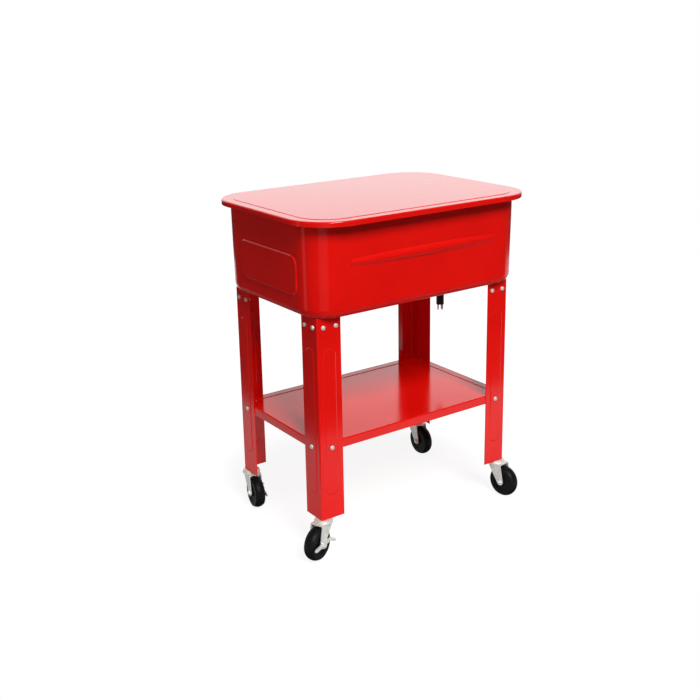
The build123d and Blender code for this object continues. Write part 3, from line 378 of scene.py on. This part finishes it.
def makePaperMaterial(s):
    mat = bpy.data.materials.new("backdropPaper")
    mat.use_nodes = True
    tree = mat.node_tree
    tree.nodes.remove(tree.nodes["Principled BSDF"])
    rays = addNode(tree, "ShaderNodeLightPath", {})
    place = addNode(tree, "ShaderNodeTexCoord", {}).outputs["Object"]

    # what the camera sees: a glow, a little lower under the object as painted shade, and a real diffuse part
    # that shadows darken
    away = addNode(tree, "ShaderNodeVectorMath", {"operation": "LENGTH"}, [(0, place)])
    white = addNode(tree, "ShaderNodeMapRange", {
        "From Min": s["whiteReach"][0], "From Max": s["whiteReach"][1],
        "To Min": s["whiteLevel"][0], "To Max": s["whiteLevel"][1],
        "interpolation_type": "SMOOTHSTEP"}, [("Value", away.outputs["Value"])])
    whitePart = addNode(tree, "ShaderNodeEmission", {}, [("Strength", white.outputs["Result"])])
    shadowPart = addNode(tree, "ShaderNodeBsdfDiffuse", {"Color": toLinear(s["shadowGrey"])})
    seenPaper = addNode(tree, "ShaderNodeAddShader", {}, [
        (0, shadowPart.outputs[0]), (1, whitePart.outputs[0])])

    # painted light from below: the paper glows for diffuse rays, less under the object as painted shade, on
    # top of its real diffuse bounce
    spread = addNode(tree, "ShaderNodeVectorMath", {"operation": "MULTIPLY", 1: s["paintedShadeFootprint"]}, [(0, place)])
    beyond = addNode(tree, "ShaderNodeVectorMath", {"operation": "LENGTH"}, [(0, spread.outputs["Vector"])])
    paintedGlow = addNode(tree, "ShaderNodeMapRange", {
        "From Min": s["paintedShadeReach"][0], "From Max": s["paintedShadeReach"][1],
        "To Min": s["paintedGlow"][0], "To Max": s["paintedGlow"][1],
        "interpolation_type": "SMOOTHSTEP"}, [("Value", beyond.outputs["Value"])])
    paintedGlowPart = addNode(tree, "ShaderNodeEmission", {}, [("Strength", paintedGlow.outputs["Result"])])
    litPart = addNode(tree, "ShaderNodeBsdfDiffuse", {"Color": toLinear(s["bounceColour"])})
    bounceAndPaintedGlow = addNode(tree, "ShaderNodeAddShader", {}, [(0, litPart.outputs[0]), (1, paintedGlowPart.outputs[0])])

    # what the gloss of the object shows: a painted sheen, an emission that only glossy rays see, brighter at
    # a grazing look
    grazing = addNode(tree, "ShaderNodeLayerWeight", {})
    paintedSheen = addNode(tree, "ShaderNodeMapRange", {
        "From Min": s["sheenTurn"][0], "From Max": s["sheenTurn"][1],
        "To Min": s["paintedSheen"][0], "To Max": s["paintedSheen"][1],
        "interpolation_type": "SMOOTHSTEP"}, [("Value", grazing.outputs["Facing"])])
    paintedSheenPart = addNode(tree, "ShaderNodeEmission", {}, [("Strength", paintedSheen.outputs["Result"])])

    unseen = addNode(tree, "ShaderNodeMixShader", {}, [
        (0, rays.outputs["Is Glossy Ray"]), (1, bounceAndPaintedGlow.outputs[0]), (2, paintedSheenPart.outputs[0])])
    surface = addNode(tree, "ShaderNodeMixShader", {}, [
        (0, rays.outputs["Is Camera Ray"]), (1, unseen.outputs[0]), (2, seenPaper.outputs[0])])
    tree.links.new(surface.outputs[0], tree.nodes["Material Output"].inputs["Surface"])
    return mat


def makePaper(s):
    left, near, right, far = s["edges"]
    corners = ((left, near), (right, near), (right, far), (left, far))
    form = bmesh.new()
    form.faces.new([form.verts.new((x, y, s["level"])) for x, y in corners])
    mesh = bpy.data.meshes.new("studioPaper")
    form.to_mesh(mesh)
    form.free()
    mesh.materials.append(makePaperMaterial(s))
    paper = bpy.data.objects.new("studioPaper", mesh)
    scene.collection.objects.link(paper)


# white room: the camera sees it white, gloss sees a lit backdrop in a dim room, and it lights almost nothing
studioRoom = {
    "colour": "#ffffff",
    "backdropWay": (0.572, 0.820, 0.0),     # straight on from the camera
    "backdropSpread": (0.35, 0.75),         # where it fades in, as the cosine of the angle from that way
    "horizon": (-0.03, 0.02),               # where it fades in upward, as the sine of the angle
    "glossLevel": (0.05, 1.0),  # strength in gloss, of the dim room and of the backdrop
    "fill": 0.015,              # strength as a light
    "seenLevel": 1.0,
}


def makeRoom(s):
    world = bpy.data.worlds.new("studioSurround")
    world.use_nodes = True
    scene.world = world
    tree = world.node_tree
    dim, bright = s["glossLevel"]
    factor, first, second = 0, 2, 3     # a Mix node's sockets for plain numbers
    rays = addNode(tree, "ShaderNodeLightPath", {})
    way = addNode(tree, "ShaderNodeTexCoord", {}).outputs["Generated"]
    toward = addNode(tree, "ShaderNodeVectorMath", {
        "operation": "DOT_PRODUCT", 1: s["backdropWay"]}, [(0, way)])
    wall = addNode(tree, "ShaderNodeMapRange", {
        "From Min": s["backdropSpread"][0], "From Max": s["backdropSpread"][1],
        "To Min": dim, "To Max": bright,
        "interpolation_type": "SMOOTHSTEP"}, [("Value", toward.outputs["Value"])])
    height = addNode(tree, "ShaderNodeSeparateXYZ", {}, [(0, way)])
    above = addNode(tree, "ShaderNodeMapRange", {
        "From Min": s["horizon"][0], "From Max": s["horizon"][1],
        "To Min": dim, "To Max": bright}, [("Value", height.outputs["Z"])])
    backdrop = addNode(tree, "ShaderNodeMath", {"operation": "MINIMUM"}, [
        (0, wall.outputs["Result"]), (1, above.outputs["Result"])])
    mirror = addNode(tree, "ShaderNodeMath", {"operation": "MAXIMUM"}, [
        (0, rays.outputs["Is Glossy Ray"]), (1, rays.outputs["Is Transmission Ray"])])
    unseen = addNode(tree, "ShaderNodeMix", {"data_type": "FLOAT", first: s["fill"]}, [
        (factor, mirror.outputs[0]), (second, backdrop.outputs[0])])
    level = addNode(tree, "ShaderNodeMix", {"data_type": "FLOAT", second: s["seenLevel"]}, [
        (factor, rays.outputs["Is Camera Ray"]), (first, unseen.outputs[0])])
    tree.links.new(level.outputs[0], tree.nodes["Background"].inputs["Strength"])
    tree.nodes["Background"].inputs["Color"].default_value = toLinear(s["colour"])


# lamps: places, aims and sizes in metres, power in watts, gloss where the lamp may show in the coat
lamps = {
    "keySoftbox": {             # large and high, in front
        "place": (-1.15, -5.60, 6.20), "aim": (0.0, -0.1, 0.45),
        "size": (3.0, 3.0), "power": 710, "gloss": True},
    "leftFill": {               # lifts the left end
        "place": (-2.6, -1.0, 1.70), "aim": (0.0, 0.0, 0.50),
        "size": (2.0, 2.0), "power": 21, "gloss": False},
    "backdropGlow": {           # bright band behind, which the lid and the shelf show
        "place": (4.58, 6.56, 2.25), "aim": (0.0, 0.0, 0.9),
        "size": (9.5, 1.9), "power": 30, "gloss": True},
    "rearFill": {
        "place": (2.4, 2.6, 2.2), "aim": (0.1, 0.1, 0.5),
        "size": (1.6, 1.6), "power": 5, "gloss": False},
    "leftStrip": {              # two low strips that draw the streaks on the tub's near corner
        "place": (-2.98, 0.78, 0.05), "aim": (-0.3, -0.15, 0.78),
        "size": (0.55, 1.3), "power": 0.80, "gloss": True},
    "nearStrip": {
        "place": (-1.95, -2.55, 0.05), "aim": (-0.3, -0.15, 0.78),
        "size": (1.7, 1.0), "power": 1.0, "gloss": True},
}


def makeLamp(name, s):
    data = bpy.data.lights.new(name, "AREA")
    data.shape = "RECTANGLE"
    data.size, data.size_y = s["size"]
    data.energy = s["power"]
    lamp = bpy.data.objects.new(name, data)
    scene.collection.objects.link(lamp)
    lamp.location = s["place"]
    aim = Vector(s["aim"]) - Vector(s["place"])
    lamp.rotation_euler = aim.to_track_quat("-Z", "Y").to_euler()
    lamp.visible_camera = False
    lamp.visible_glossy = s["gloss"]


makePaper(paperSheet)
makeRoom(studioRoom)
for key, s in lamps.items():
    makeLamp(key, s)
scene.view_settings.view_transform = "Standard"
print("studio lit with", len(lamps), "lamps")

bpy.context.view_layer.update()
print("done")
